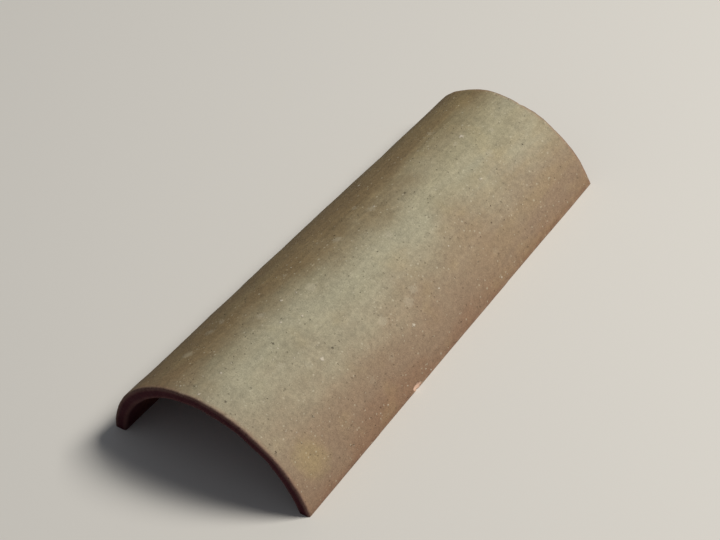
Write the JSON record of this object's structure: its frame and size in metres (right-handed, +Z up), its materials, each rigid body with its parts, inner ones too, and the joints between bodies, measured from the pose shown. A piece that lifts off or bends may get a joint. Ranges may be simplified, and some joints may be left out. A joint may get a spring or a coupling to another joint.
{
  "type": "curved clay roof tile",
  "caption": "Tapered half-barrel roof tile of fired clay, laid crown up, with square-cut ends, a constant wall and two long edges to bed on.",
  "frame": {"origin": "centre of the tile's footprint on the level surface that its two long edges stand on", "axes": "+Y along the tile from the wide lower end to the narrow upper end, +Z up through the crown, +X to the right when looking up the slope"},
  "size_m": [0.189, 0.4, 0.0794],
  "materials": {
    "fired_clay": "matt weathered fired clay, tan to rosy brown, unglazed"
  },
  "bodies": {
    "root": {"barrel_tile": "fired_clay"}
  },
  "joints": []
}
